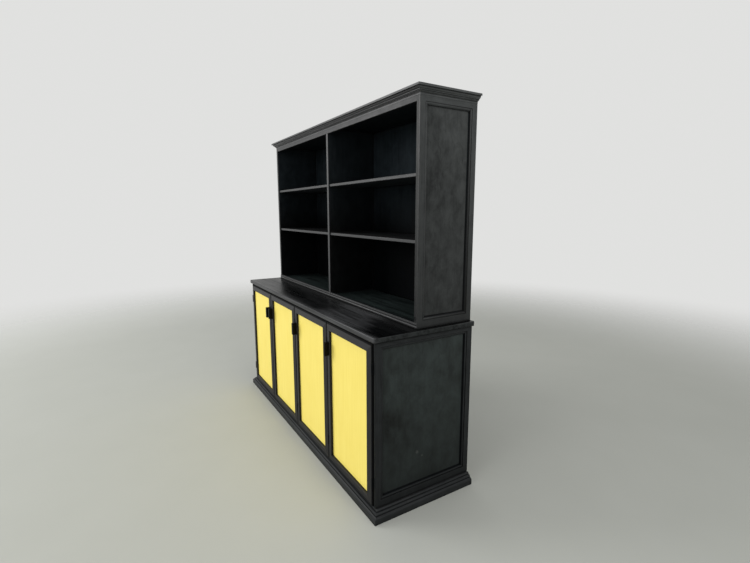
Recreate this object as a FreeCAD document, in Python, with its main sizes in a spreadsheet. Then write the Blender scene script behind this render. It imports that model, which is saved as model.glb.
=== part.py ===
import FreeCAD
import Part

import math
import os
from types import SimpleNamespace

import Sketcher
from FreeCAD import Rotation, Vector

# A dresser-style credenza: a long base cupboard with four framed doors, a
# worktop, and a shallower open hutch above, closed at the top by a cornice.
# Millimetres. +X runs to the right along the front, -Y faces the room and +Z
# is up. The origin is on the floor, in the middle of the box round the part.

SIZES = {
    # plinth
    "plinth_height": 60.0,
    "plinth_board": 18.0,
    "plinth_out": 40.0,
    "bearer_inset": 480.0,
    # base cupboard
    "base_width": 2052.0,
    "base_depth": 599.0,
    "base_height": 857.0,
    "board": 18.0,
    "back_board": 8.0,
    "top_rail_depth": 80.0,
    "base_shelf_height": 402.0,
    "base_shelf_setback": 60.0,
    "shelf_play": 0.5,
    # planted frames on the ends of the base
    "end_frame": 12.0,
    "end_lead": 14.0,
    "end_stile": 32.0,
    "end_bottom_rail": 37.0,
    "end_top_rail": 25.0,
    "bead_width": 15.0,
    "bead_rise": 9.5,
    # worktop
    "worktop": 27.0,
    "worktop_depth": 628.0,
    "worktop_overhang": 16.0,
    "worktop_corner": 10.0,
    "worktop_nose": 5.0,
    # doors
    "door_side_gap": 11.0,
    "door_gap": 3.0,
    "door_bottom_gap": 2.5,
    "door_top_gap": 12.5,
    "door_back_gap": 1.5,
    "member_width": 42.0,
    "member_edge": 19.0,
    "member_inner": 24.0,
    "member_edge_round": 3.0,
    "member_inner_round": 2.0,
    "panel": 6.0,
    "panel_play": 0.1,
    "panel_back": 4.0,
    "groove_depth": 8.0,
    "panel_edge_play": 1.0,
    # block handles
    "handle_width": 22.0,
    "handle_length": 78.0,
    "handle_out": 28.0,
    "handle_lip": 10.0,
    "handle_groove": 3.0,
    "handle_groove_width": 10.0,
    "handle_from_edge": 28.5,
    "handle_below_top": 147.5,
    "handle_round": 2.0,
    # butt hinges
    "hinge_length": 60.0,
    "hinge_inset": 120.0,
    "knuckle": 2.2,
    "knuckle_clear": 0.3,
    "pin_radius": 1.0,
    "pin_play": 0.05,
    "pin_head": 0.4,
    "leaf": 1.0,
    "leaf_gap": 0.2,
    "axis_forward": 2.0,
    "flange": 1.2,
    "flange_reach": 9.0,
    "screw_head": 2.2,
    "screw_shank": 1.1,
    "screw_length": 12.0,
    "screw_play": 0.05,
    "screw_inset": 10.0,
    # magnetic catches
    "catch_width": 40.0,
    "catch_height": 12.0,
    "catch_depth": 34.0,
    "catch_from_edge": 18.0,
    "catch_gap": 0.3,
    # hutch
    "hutch_inset": 15.0,
    "hutch_depth": 359.0,
    "hutch_height": 1136.0,
    "hutch_frame": 10.0,
    "hutch_board": 16.0,
    "hutch_bottom_rail": 40.0,
    "hutch_top_rail": 48.0,
    "hutch_divider": 24.0,
    "hutch_floor_board": 18.0,
    "header_height": 47.0,
    "header_board": 18.0,
    "shelf_board": 16.0,
    "shelf_round": 1.5,
    "shelf_setback": 7.0,
    "lower_shelf_height": 426.0,
    "upper_shelf_height": 748.0,
    "foot_rail_height": 30.0,
    "foot_rail_board": 18.0,
    "foot_bead_out": 5.0,
    # cornice
    "cornice_out": 32.0,
    "cornice_height": 42.0,
    "cornice_rise": 20.0,
    # shelf pins and dowels
    "shelf_pin_radius": 2.5,
    "shelf_pin_seat": 9.0,
    "shelf_pin_inset": 45.0,
    "dowel_radius": 5.0,
    "dowel_depth": 18.0,
    "dowel_inset": 70.0,
    # every cut runs past what it cuts by this much
    "overrun": 5.0,
}


class Size:
    """A length that carries its number and the formula that gives it in the sheet."""

    def __init__(self, number, text):
        self.number = number
        self.text = text

    def joined(self, other, sign, number):
        return Size(number, "(%s %s %s)" % (self.text, sign, other.text))

    def __add__(self, other):
        other = as_size(other)
        return self.joined(other, "+", self.number + other.number)

    def __radd__(self, other):
        return as_size(other) + self

    def __sub__(self, other):
        other = as_size(other)
        return self.joined(other, "-", self.number - other.number)

    def __rsub__(self, other):
        return as_size(other) - self

    def __mul__(self, other):
        other = as_size(other)
        return self.joined(other, "*", self.number * other.number)

    def __rmul__(self, other):
        return as_size(other) * self

    def __truediv__(self, other):
        other = as_size(other)
        return self.joined(other, "/", self.number / other.number)

    def __neg__(self):
        return Size(-self.number, "(0 - %s)" % self.text)


def as_size(value):
    if isinstance(value, Size):
        return value
    return Size(float(value), repr(float(value)))


doc = FreeCAD.newDocument("credenza")
sheet = doc.addObject("Spreadsheet::Sheet", "sizes")
for row, (alias, value) in enumerate(SIZES.items(), start=1):
    sheet.set("A%d" % row, alias)
    sheet.set("B%d" % row, str(value))
    sheet.setAlias("B%d" % row, alias)
doc.recompute()

size = SimpleNamespace(**{alias: Size(value, "sizes." + alias) for alias, value in SIZES.items()})
zero = as_size(0)
half_share = 0.5
pieces = []


def keep(made):
    """Marks an object as one named sub-part of the credenza."""
    pieces.append(made)
    return made


def bind(made, name, value):
    made.setExpression(name, as_size(value).text)


def place(made, x, y, z, turn=None):
    """Puts an object at a place given in sizes, turned about its own origin."""
    if turn is not None:
        made.Placement.Rotation = turn
    for axis, value in zip("xyz", (x, y, z)):
        bind(made, "Placement.Base." + axis, value)
    return made


def block(label, x, y, z):
    """A plain board between two ends along each axis."""
    made = doc.addObject("Part::Box", label)
    for name, (low, high) in zip(("Length", "Width", "Height"), (x, y, z)):
        bind(made, name, as_size(high) - low)
    return place(made, x[0], y[0], z[0])


def rod(label, radius, length, x, y, z, turn=None):
    made = doc.addObject("Part::Cylinder", label)
    bind(made, "Radius", radius)
    bind(made, "Height", length)
    return place(made, x, y, z, turn)


def fused(label, members):
    made = doc.addObject("Part::MultiFuse", label)
    made.Shapes = members
    return made


def cut(label, base, tool):
    made = doc.addObject("Part::Cut", label)
    made.Base = base
    made.Tool = tool
    return made


def copy_of(original, label, x, y, z, turn=None):
    made = doc.addObject("App::Link", label)
    made.LinkedObject = original
    return place(made, x, y, z, turn)


def group(label, members):
    """Identical pieces, or the members of one frame, as separate solids of one sub-part."""
    made = doc.addObject("Part::Compound", label)
    made.Links = members
    return keep(made)


def spot(corner):
    return Vector(as_size(corner[0]).number, as_size(corner[1]).number, 0)


def outline(body, plane, name, corners):
    """A closed outline through the corners; one with a third entry bulges through it to the next."""
    sketch = body.newObject("Sketcher::SketchObject", name)
    base_plane = [made for made in body.Origin.OriginFeatures if made.Role == plane][0]
    sketch.AttachmentSupport = [(base_plane, "")]
    sketch.MapMode = "FlatFace"
    ends = []
    rules = []
    names = []

    def hold(edge, end, corner):
        for kind, value in zip(("DistanceX", "DistanceY"), corner):
            value = as_size(value)
            rules.append(Sketcher.Constraint(kind, -1, 1, edge, end, value.number))
            names.append(value.text)

    def tie(*rule):
        rules.append(Sketcher.Constraint(*rule))
        names.append(None)

    for index, corner in enumerate(corners):
        start = spot(corner)
        end = spot(corners[(index + 1) % len(corners)])
        forward = True
        if len(corner) == 3:
            # the ends of an arc run anticlockwise, so a clockwise one is drawn from its end
            through = spot(corner[2])
            forward = (through - start).cross(end - start).z > 0
            edge = Part.Arc(start, through, end) if forward else Part.Arc(end, through, start)
        else:
            edge = Part.LineSegment(start, end)
        sketch.addGeometry(edge, False)
        ends.append((1, 2) if forward else (2, 1))
    count = len(corners)
    for index, corner in enumerate(corners):
        tie("Coincident", index, ends[index][1], (index + 1) % count, ends[(index + 1) % count][0])
        hold(index, ends[index][0], corner)
        if len(corner) == 3:
            point = sketch.addGeometry(Part.Point(spot(corner[2])), True)
            hold(point, 1, corner[2])
            tie("PointOnObject", point, 1, index)
    sketch.addConstraint(rules)
    for index, text in enumerate(names):
        if text is not None:
            sketch.setExpression("Constraints[%d]" % index, text)
    return sketch


def padded(label, plane, corners, length):
    """A body with one outline padded square to its plane."""
    body = doc.addObject("PartDesign::Body", label)
    pad = body.newObject("PartDesign::Pad", label + "_pad")
    pad.Profile = outline(body, plane, label + "_outline", corners)
    bind(pad, "Length", length)
    return body


def pocket(body, label, plane, corners):
    """Cuts right through the body, both ways from the plane."""
    made = body.newObject("PartDesign::Pocket", label)
    made.Profile = outline(body, plane, label + "_outline", corners)
    made.Type = "ThroughAll"
    made.SideType = "Symmetric"
    return made


def strip(label, corners, width, length, start=True, end=True):
    """A moulding along +X with its long edge on the X axis and equal mitres at the ends asked for."""
    body = padded(label, "YZ_Plane", corners, length)
    over = size.overrun
    if start:
        away = ((-over, -over), (width + over, width + over), (-over, width + over))
        pocket(body, label + "_start", "XY_Plane", away)
    if end:
        away = (
            (length + over, -over),
            (length + over, width + over),
            (length - width - over, width + over),
        )
        pocket(body, label + "_end", "XY_Plane", away)
    return body


def scaled(shares, wide, tall):
    """An outline given in shares of its width and height, in sizes."""
    corners = []
    for entry in shares:
        corner = [entry[0] * wide, entry[1] * tall]
        if len(entry) == 3:
            corner.append((entry[2][0] * wide, entry[2][1] * tall))
        corners.append(tuple(corner))
    return corners


def ring(label, upright, level, ends, heights, face, facing):
    """Four mitred members round an opening in an upright plane, with their long edges outside."""
    standing = Rotation(Vector(1, 0, 0), 90)
    turns = {
        "front": (standing, Vector(0, 1, 0), -90),
        "right": (Rotation(Vector(0, 0, 1), 90) * standing, Vector(1, 0, 0), 90),
        "left": (Rotation(Vector(0, 0, 1), -90) * standing, Vector(1, 0, 0), -90),
    }
    first_turn, axis, step = turns[facing]
    near, far = ends
    low, high = heights
    made = []
    for index, (across, height) in enumerate(((near, low), (far, low), (far, high), (near, high))):
        member = (level, upright)[index % 2]
        turn = Rotation(axis, step * index) * first_turn
        where = (across, face, height) if facing == "front" else (face, across, height)
        made.append(copy_of(member, "%s_%d" % (label, index + 1), *where, turn))
    return made


# main places, all from the back of the part, which is flat against the wall
front_of_handles = size.base_depth + size.door_back_gap + size.member_inner + size.handle_out
back = front_of_handles / 2


def depth(distance):
    """The place of a plane at this distance in front of the back."""
    return back - distance


half = size.base_width / 2
board_out = half - size.end_frame
board_in = board_out - size.board
carcass_front = depth(size.base_depth)
back_panel_front = depth(size.back_board)
plinth_top = size.plinth_height
floor_top = plinth_top + size.board
worktop_under = plinth_top + size.base_height
worktop_top = worktop_under + size.worktop

# plinth: two long boards with bearers between them
plinth_rise = (zero, plinth_top)
bearer_front = carcass_front + size.plinth_board
bearer_back = depth(size.plinth_board)
long_boards = [
    block("plinth_board_front", (-half, half), (carcass_front, bearer_front), plinth_rise),
    block("plinth_board_back", (-half, half), (bearer_back, back), plinth_rise),
]
group("plinth_long_boards", long_boards)
bearer_edges = (-half, -size.bearer_inset, size.bearer_inset, half - size.plinth_board)
bearers = []
for number, edge in enumerate(bearer_edges, start=1):
    across = (edge, edge + size.plinth_board)
    label = "plinth_bearer_%d" % number
    bearers.append(block(label, across, (bearer_front, bearer_back), plinth_rise))
group("plinth_bearers", bearers)

# plinth moulding: flat face, rounded shoulder, two beads behind quirks and a groove at the wall
plinth_shares = (
    (0.0, 0.0),
    (0.0, 0.44, (0.03, 0.52)),
    (0.11, 0.565),
    (0.24, 0.63),
    (0.26, 0.56),
    (0.31, 0.56),
    (0.32, 0.66, (0.4, 0.78)),
    (0.56, 0.83),
    (0.58, 0.79),
    (0.61, 0.79),
    (0.62, 0.87, (0.68, 0.95)),
    (0.8, 1.0),
    (0.88, 1.0),
    (0.9, 0.9),
    (1.0, 0.9),
    (1.0, 0.0),
)
plinth_corners = scaled(plinth_shares, size.plinth_out, size.plinth_height)
plinth_outer = half + size.plinth_out
plinth_outer_front = carcass_front - size.plinth_out
quarter = Rotation(Vector(0, 0, 1), 90)
quarter_back = Rotation(Vector(0, 0, 1), -90)


def band(label, corners, out, outer, outer_front, z):
    """A moulding round the front and both ends, mitred at the front corners."""
    side_run = back - outer_front
    front_piece = strip(label + "_front", corners, out, outer * 2)
    keep(place(front_piece, -outer, outer_front, z))
    right_piece = strip(label + "_right", corners, out, side_run, end=False)
    keep(place(right_piece, outer, outer_front, z, quarter))
    left_piece = strip(label + "_left", corners, out, side_run, start=False)
    keep(place(left_piece, -outer, back, z, quarter_back))


band("plinth_moulding", plinth_corners, size.plinth_out, plinth_outer, plinth_outer_front, zero)

# base carcass
inside = (-board_in, board_in)
base_rise = (plinth_top, worktop_under)
keep(block("base_bottom", inside, (carcass_front, back_panel_front), (plinth_top, floor_top)))
keep(block("base_back", inside, (back_panel_front, back), base_rise))
keep(block("base_left_side", (-board_out, -board_in), (carcass_front, back), base_rise))
keep(block("base_right_side", (board_in, board_out), (carcass_front, back), base_rise))
rail_under = worktop_under - size.board
rail_rise = (rail_under, worktop_under)
front_rail_y = (carcass_front, carcass_front + size.top_rail_depth)
back_rail_y = (back_panel_front - size.top_rail_depth, back_panel_front)
top_rails = [
    block("base_rail_front", inside, front_rail_y, rail_rise),
    block("base_rail_back", inside, back_rail_y, rail_rise),
]
group("base_top_rails", top_rails)

# doors: four of one width, with a joint line between each pair
doors_half = board_out - size.door_side_gap
door_width = (doors_half * 2 - size.door_gap * 3) / 4
door_height = size.base_height - size.door_bottom_gap - size.door_top_gap
door_low = plinth_top + size.door_bottom_gap
door_high = door_low + door_height
door_back = carcass_front - size.door_back_gap
door_pitch = door_width + size.door_gap

partitions = (("base_centre_partition", zero), ("base_right_partition", door_pitch))
for name, centre in partitions:
    across = (centre - size.board / 2, centre + size.board / 2)
    keep(block(name, across, (carcass_front, back_panel_front), (floor_top, rail_under)))

# loose shelves in the base, each on four pins
shelf_z = floor_top + size.base_shelf_height
base_bays = (
    ("base_shelf_left", -board_in, -size.board / 2),
    ("base_shelf_middle", size.board / 2, door_pitch - size.board / 2),
    ("base_shelf_right", door_pitch + size.board / 2, board_in),
)
base_shelf_front = carcass_front + size.base_shelf_setback
for name, left, right in base_bays:
    across = (left + size.shelf_play, right - size.shelf_play)
    keep(block(name, across, (base_shelf_front, back_panel_front), (shelf_z, shelf_z + size.board)))

# planted frames on the ends of the base, each with a sunk moulding inside
bead_shares = (
    (0.0, 0.0),
    (0.0, 0.78),
    (0.12, 0.78),
    (0.12, 0.88, (0.45, 1.0)),
    (0.84, 0.74),
    (0.9, 0.26),
    (1.0, 0.26),
    (1.0, 0.0),
)
bead_corners = scaled(bead_shares, size.bead_width, size.bead_rise)


def end_frame(label, x, front, rise, opening):
    """Two full-height stiles with two rails between them, above and below the opening."""
    stile = size.end_stile
    between = (front + stile, back - stile)
    members = [
        block(label + "_front_stile", x, (front, front + stile), rise),
        block(label + "_back_stile", x, (back - stile, back), rise),
        block(label + "_bottom_rail", x, between, (rise[0], opening[0])),
        block(label + "_top_rail", x, between, (opening[1], rise[1])),
    ]
    group(label, members)


def end_beads(label, face, front, opening):
    """Mitred mouldings inside both end frames, lying on the end boards."""
    near = front + size.end_stile
    far = back - size.end_stile
    across = strip(label + "_across", bead_corners, size.bead_width, far - near)
    up = strip(label + "_up", bead_corners, size.bead_width, opening[1] - opening[0])
    beads = ring(label + "_right", up, across, (near, far), opening, face, "right")
    beads += ring(label + "_left", up, across, (far, near), opening, -face, "left")
    group(label, beads)


end_front = carcass_front - size.end_lead
base_opening = (plinth_top + size.end_bottom_rail, worktop_under - size.end_top_rail)
end_frame("base_left_frame", (-half, -board_out), end_front, base_rise, base_opening)
end_frame("base_right_frame", (board_out, half), end_front, base_rise, base_opening)
end_beads("base_panel_beads", board_out, end_front, base_opening)

# worktop, with rounded front corners and a rounded nose on its three free sides
worktop_half = half + size.worktop_overhang
worktop_front = depth(size.worktop_depth)
corner = size.worktop_corner
corner_share = 1 - math.sqrt(half_share)
near = corner * corner_share
worktop_corners = (
    (-worktop_half, back),
    (-worktop_half, worktop_front + corner, (near - worktop_half, worktop_front + near)),
    (corner - worktop_half, worktop_front),
    (worktop_half - corner, worktop_front, (worktop_half - near, worktop_front + near)),
    (worktop_half, worktop_front + corner),
    (worktop_half, back),
)
worktop = padded("worktop", "XY_Plane", worktop_corners, size.worktop)
doc.recompute()
slab = worktop.Tip
nose_edges = []
for number, edge in enumerate(slab.Shape.Edges, start=1):
    level = edge.BoundBox.ZLength < size.worktop_nose.number
    free = edge.CenterOfMass.y < back.number - size.worktop_nose.number
    if level and free:
        nose_edges.append("Edge%d" % number)
nose = worktop.newObject("PartDesign::Fillet", "worktop_nose_round")
nose.Base = (slab, nose_edges)
bind(nose, "Radius", size.worktop_nose)
keep(place(worktop, zero, zero, worktop_under))

# door members: thin at the outer edge, thicker inside, grooved for the panel
groove_low = size.panel_back - size.panel_play
groove_high = size.panel_back + size.panel + size.panel_play
groove_in = size.member_width - size.groove_depth
edge_near = size.member_edge_round * corner_share
inner_near = size.member_inner_round * corner_share
member_corners = (
    (zero, zero),
    (zero, size.member_edge - size.member_edge_round, (edge_near, size.member_edge - edge_near)),
    (size.member_edge_round, size.member_edge),
    (
        size.member_width - size.member_inner_round,
        size.member_inner,
        (size.member_width - inner_near, size.member_inner - inner_near),
    ),
    (size.member_width, size.member_inner - size.member_inner_round),
    (size.member_width, groove_high),
    (groove_in, groove_high),
    (groove_in, groove_low),
    (size.member_width, groove_low),
    (size.member_width, zero),
)
door_rail = strip("door_rail", member_corners, size.member_width, door_width)
door_stile = strip("door_stile", member_corners, size.member_width, door_height)

# block handle: its back lies on the slope of the stile, and a groove for the finger tips runs down each side
slope_run = size.member_width - size.member_edge_round - size.member_inner_round
slope = (size.member_inner - size.member_edge) / slope_run


def stile_face(distance):
    """How far the sloping face of a door member stands off its back, at a distance from its edge."""
    return size.member_edge + (distance - size.member_edge_round) * slope


handle_near = size.handle_from_edge - size.handle_width / 2
handle_far = size.handle_from_edge + size.handle_width / 2
handle_face = size.member_inner + size.handle_out
lip_back = handle_face - size.handle_lip
groove_back = lip_back - size.handle_groove_width
far_groove = size.handle_width - size.handle_groove
handle_corners = (
    (zero, stile_face(handle_near)),
    (size.handle_width, stile_face(handle_far)),
    (size.handle_width, groove_back),
    (far_groove, groove_back),
    (far_groove, lip_back),
    (size.handle_width, lip_back),
    (size.handle_width, handle_face),
    (zero, handle_face),
    (zero, lip_back),
    (size.handle_groove, lip_back),
    (size.handle_groove, groove_back),
    (zero, groove_back),
)


def handle_body():
    """The handle, with its width along X, its length up and its grip away from the door."""
    body = padded("handle", "XY_Plane", handle_corners, size.handle_length)
    doc.recompute()
    square = body.Tip
    rounded = []
    for number, edge in enumerate(square.Shape.Edges, start=1):
        if edge.BoundBox.YMin > handle_face.number - size.handle_round.number:
            rounded.append("Edge%d" % number)
    soft = body.newObject("PartDesign::Fillet", "handle_round")
    soft.Base = (square, rounded)
    bind(soft, "Radius", size.handle_round)
    return body


handle = handle_body()

# butt hinge: its axis lies in front of the door's outer edge. Places are from
# the axis: +X away from the door, +Y towards the carcass, Z up from the middle.
axis_back = size.member_edge + size.axis_forward
third = size.hinge_length / 3
half_hinge = size.hinge_length / 2
knuckle_hole = size.pin_radius + size.pin_play
cut_back_by = size.knuckle + size.knuckle_clear
flange_back = axis_back + size.door_back_gap
flange_front = flange_back - size.flange
leaf_from = size.leaf + size.leaf_gap
leaf_to = leaf_from + size.leaf
flange_end = leaf_from + size.flange_reach
screw_x = (leaf_to + flange_end) / 2


def barrel(label, low, high):
    return rod(label, size.knuckle, high - low, zero, zero, low)


def pin_hole(label, low, high):
    over = size.overrun
    return rod(label, knuckle_hole, high - low + over * 2, zero, zero, low - over)


def door_leaf():
    """The leaf on the door's edge, with the middle knuckle."""
    across = (zero, size.leaf)
    high = third / 2 - size.knuckle_clear
    low = -high
    plate = block("door_leaf_plate", across, (cut_back_by, axis_back), (-half_hinge, half_hinge))
    neck = block("door_leaf_neck", across, (size.pin_radius, cut_back_by), (low, high))
    solid = fused("door_leaf_solid", [plate, neck, barrel("door_leaf_barrel", low, high)])
    return cut("door_leaf", solid, pin_hole("door_leaf_hole", low, high))


def fixed_leaf():
    """The leaf beside it, with the two outer knuckles and a flange on the carcass edge."""
    across = (leaf_from, leaf_to)
    along = (flange_front, flange_back)
    tall = (-half_hinge, half_hinge)
    members = [
        block("fixed_leaf_plate", across, (cut_back_by, flange_back), tall),
        block("fixed_leaf_flange", (leaf_from, flange_end), along, tall),
    ]
    for name, low in (("low", -half_hinge), ("high", half_hinge - third)):
        high = low + third
        members.append(block("fixed_leaf_neck_" + name, across, (zero, cut_back_by), (low, high)))
        members.append(barrel("fixed_leaf_barrel_" + name, low, high))
    solid = fused("fixed_leaf_solid", members)
    holes = [pin_hole("fixed_leaf_hole", -half_hinge, half_hinge)]
    for name, z in (("low", size.screw_inset - half_hinge), ("high", half_hinge - size.screw_inset)):
        holes.append(screw("fixed_leaf_sink_" + name, size.screw_play, z))
    return cut("fixed_leaf", solid, fused("fixed_leaf_holes", holes))


def screw(label, play, z):
    """A countersunk screw through the flange, or with some play its hole."""
    into = Rotation(Vector(1, 0, 0), -90)
    head = doc.addObject("Part::Cone", label + "_head")
    bind(head, "Radius1", size.screw_head + play)
    bind(head, "Radius2", size.screw_shank + play)
    bind(head, "Height", size.flange)
    where = (screw_x, flange_front, z, into)
    place(head, *where)
    shank = rod(label + "_shank", size.screw_shank + play, size.screw_length, *where)
    return fused(label, [head, shank])


leaf_on_door = door_leaf()
leaf_on_carcass = fixed_leaf()
one_screw = screw("screw", zero, zero)
pin_length = size.hinge_length + size.pin_head * 2
one_pin = rod("hinge_pin", size.pin_radius, pin_length, zero, zero, -half_hinge - size.pin_head)

# the four doors: the left one is hung on its left edge, the others on their right
half_turn = Rotation(Vector(0, 1, 0), 180)
axis_y = door_back - axis_back
hinge_heights = (door_low + size.hinge_inset, door_high - size.hinge_inset)
fixed_leaves = []
pins = []
screws = []
catches = []
for number in (1, 2, 3, 4):
    name = "door_%d" % number
    left = door_pitch * (number - 1) - doors_half
    right = left + door_width
    hung_left = number == 1
    edges = ((left, right), (door_low, door_high))
    group(name + "_frame", ring(name + "_member", door_stile, door_rail, *edges, door_back, "front"))

    rebate = size.member_width - size.groove_depth + size.panel_edge_play
    panel_back_y = door_back - size.panel_back
    panel_x = (left + rebate, right - rebate)
    panel_y = (panel_back_y - size.panel, panel_back_y)
    keep(block(name + "_panel", panel_x, panel_y, (door_low + rebate, door_high - rebate)))

    # the handle is on the free stile, and turned over on the door that is hung on its left
    handle_high = door_high - size.handle_below_top + size.handle_length / 2
    if hung_left:
        grip_x = right - handle_near
        grip_z = handle_high - size.handle_length
        turn = Rotation(Vector(0, 0, 1), 180)
    else:
        grip_x = left + handle_near
        grip_z = handle_high
        turn = Rotation(Vector(1, 0, 0), 180)
    group(name + "_handle", [copy_of(handle, name + "_grip", grip_x, door_back, grip_z, turn)])

    edge = left if hung_left else right
    turn = half_turn if hung_left else Rotation()
    leaves = []
    for place_name, z in zip(("low", "high"), hinge_heights):
        tag = "_%d_%s" % (number, place_name)
        leaves.append(copy_of(leaf_on_door, "door_leaf" + tag, edge, axis_y, z, turn))
        fixed_leaves.append(copy_of(leaf_on_carcass, "fixed_leaf" + tag, edge, axis_y, z, turn))
        pins.append(copy_of(one_pin, "pin" + tag, edge, axis_y, z - half_hinge - size.pin_head))
        for side, offset in (("a", half_hinge - size.screw_inset), ("b", size.screw_inset - half_hinge)):
            screws.append(copy_of(one_screw, "screw" + tag + side, edge, axis_y, z + offset, turn))
    group(name + "_hinge_leaves", leaves)

    if hung_left:
        catch_x = (right - size.catch_from_edge - size.catch_width, right - size.catch_from_edge)
    else:
        catch_x = (left + size.catch_from_edge, left + size.catch_from_edge + size.catch_width)
    catch_front = door_back + size.catch_gap
    catch_y = (catch_front, catch_front + size.catch_depth)
    catch_z = (rail_under - size.catch_height, rail_under)
    catches.append(block("catch_%d" % number, catch_x, catch_y, catch_z))

group("hinge_leaves_fixed", fixed_leaves)
group("hinge_pins", pins)
group("hinge_screws", screws)
group("door_catches", catches)

# hutch carcass, standing on the worktop with its back in line
hutch_half = half - size.hutch_inset
hutch_out = hutch_half - size.hutch_frame
hutch_in = hutch_out - size.hutch_board
hutch_front = depth(size.hutch_depth)
hutch_top = worktop_top + size.hutch_height
hutch_rise = (worktop_top, hutch_top)
keep(block("hutch_left_side", (-hutch_out, -hutch_in), (hutch_front, back), hutch_rise))
keep(block("hutch_right_side", (hutch_in, hutch_out), (hutch_front, back), hutch_rise))
between = (-hutch_in, hutch_in)
keep(block("hutch_back", between, (back_panel_front, back), hutch_rise))
foot_high = worktop_top + size.foot_rail_height
foot_back = hutch_front + size.foot_rail_board
keep(block("hutch_foot_rail", between, (hutch_front, foot_back), (worktop_top, foot_high)))
hutch_floor = worktop_top + size.hutch_floor_board
keep(block("hutch_bottom", between, (foot_back, back_panel_front), (worktop_top, hutch_floor)))
header_low = hutch_top - size.header_height
header_back = hutch_front + size.header_board
keep(block("hutch_header", between, (hutch_front, header_back), (header_low, hutch_top)))
hutch_roof = hutch_top - size.hutch_floor_board
keep(block("hutch_top", between, (header_back, back_panel_front), (hutch_roof, hutch_top)))

hutch_opening = (worktop_top + size.hutch_bottom_rail, hutch_top - size.hutch_top_rail)
end_frame("hutch_left_frame", (-hutch_half, -hutch_out), hutch_front, hutch_rise, hutch_opening)
end_frame("hutch_right_frame", (hutch_out, hutch_half), hutch_front, hutch_rise, hutch_opening)
end_beads("hutch_panel_beads", hutch_out, hutch_front, hutch_opening)

# upright divider, notched at the top for the header and at the foot for the rail
divider_corners = (
    (hutch_front, foot_high),
    (foot_back, foot_high),
    (foot_back, hutch_floor),
    (back_panel_front, hutch_floor),
    (back_panel_front, hutch_roof),
    (header_back, hutch_roof),
    (header_back, header_low),
    (hutch_front, header_low),
)
divider = padded("hutch_divider", "YZ_Plane", divider_corners, size.hutch_divider)
keep(place(divider, -size.hutch_divider / 2, zero, zero))

# four shelves with rounded front edges
shelf_front = hutch_front + size.shelf_setback
round_by = size.shelf_round
shelf_near = round_by * corner_share
shelf_corners = (
    (shelf_front + round_by, zero),
    (back_panel_front, zero),
    (back_panel_front, size.shelf_board),
    (shelf_front + round_by, size.shelf_board, (shelf_front + shelf_near, size.shelf_board - shelf_near)),
    (shelf_front, size.shelf_board - round_by),
    (shelf_front, round_by, (shelf_front + shelf_near, shelf_near)),
)
shelf_length = hutch_in - size.hutch_divider / 2 - size.shelf_play * 2
hutch_bays = (("left", -hutch_in), ("right", size.hutch_divider / 2))
shelf_levels = (("lower", size.lower_shelf_height), ("upper", size.upper_shelf_height))
for level, rise in shelf_levels:
    for side, start in hutch_bays:
        shelf = padded("shelf_%s_%s" % (level, side), "YZ_Plane", shelf_corners, shelf_length)
        keep(place(shelf, start + size.shelf_play, zero, worktop_top + rise))

# shelf pins: each is half in its upright and half under its shelf
pin_rows = []
for name, left, right in base_bays:
    pin_rows.append((left, right, base_shelf_front, shelf_z))
for level, rise in shelf_levels:
    for side, start in hutch_bays:
        end = start + hutch_in - size.hutch_divider / 2
        pin_rows.append((start, end, shelf_front, worktop_top + rise))
along_x = Rotation(Vector(0, 1, 0), 90)
shelf_pins = []
for row, (left, right, front, under) in enumerate(pin_rows, start=1):
    ends = (front + size.shelf_pin_inset, back_panel_front - size.shelf_pin_inset)
    for side, wall in (("left", left), ("right", right)):
        for place_name, y in zip(("front", "back"), ends):
            label = "shelf_pin_%d_%s_%s" % (row, side, place_name)
            x = wall - size.shelf_pin_seat
            z = under - size.shelf_pin_radius
            shelf_pins.append(rod(label, size.shelf_pin_radius, size.shelf_pin_seat * 2, x, y, z, along_x))
group("shelf_pins", shelf_pins)

# dowels that locate the hutch on the worktop
dowel_x = (hutch_out + hutch_in) / 2
dowel_y = (hutch_front + size.dowel_inset, back - size.dowel_inset)
dowel_low = worktop_top - size.dowel_depth
dowel_length = size.dowel_depth * 2
dowels = []
for side, x in (("left", -dowel_x), ("right", dowel_x)):
    for place_name, y in zip(("front", "back"), dowel_y):
        label = "dowel_%s_%s" % (side, place_name)
        dowels.append(rod(label, size.dowel_radius, dowel_length, x, y, dowel_low))
group("hutch_dowels", dowels)

# beaded moulding along the foot of the hutch
foot_shares = (
    (0.0, 0.0),
    (0.0, 1.0),
    (0.4, 1.0),
    (0.5, 0.9),
    (0.5, 0.84, (0.8, 0.72)),
    (0.5, 0.58),
    (0.2, 0.56),
    (0.2, 0.48),
    (0.5, 0.46, (1.0, 0.24)),
    (0.6, 0.03),
    (0.6, 0.0),
)
foot_corners = []
for corner in scaled(foot_shares, size.foot_bead_out, size.foot_rail_height):
    outward = [hutch_front - corner[0], worktop_top + corner[1]]
    if len(corner) == 3:
        outward.append((hutch_front - corner[2][0], worktop_top + corner[2][1]))
    foot_corners.append(tuple(outward))
foot_moulding = padded("hutch_foot_moulding", "YZ_Plane", foot_corners, hutch_half * 2)
keep(place(foot_moulding, -hutch_half, zero, zero))

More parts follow.
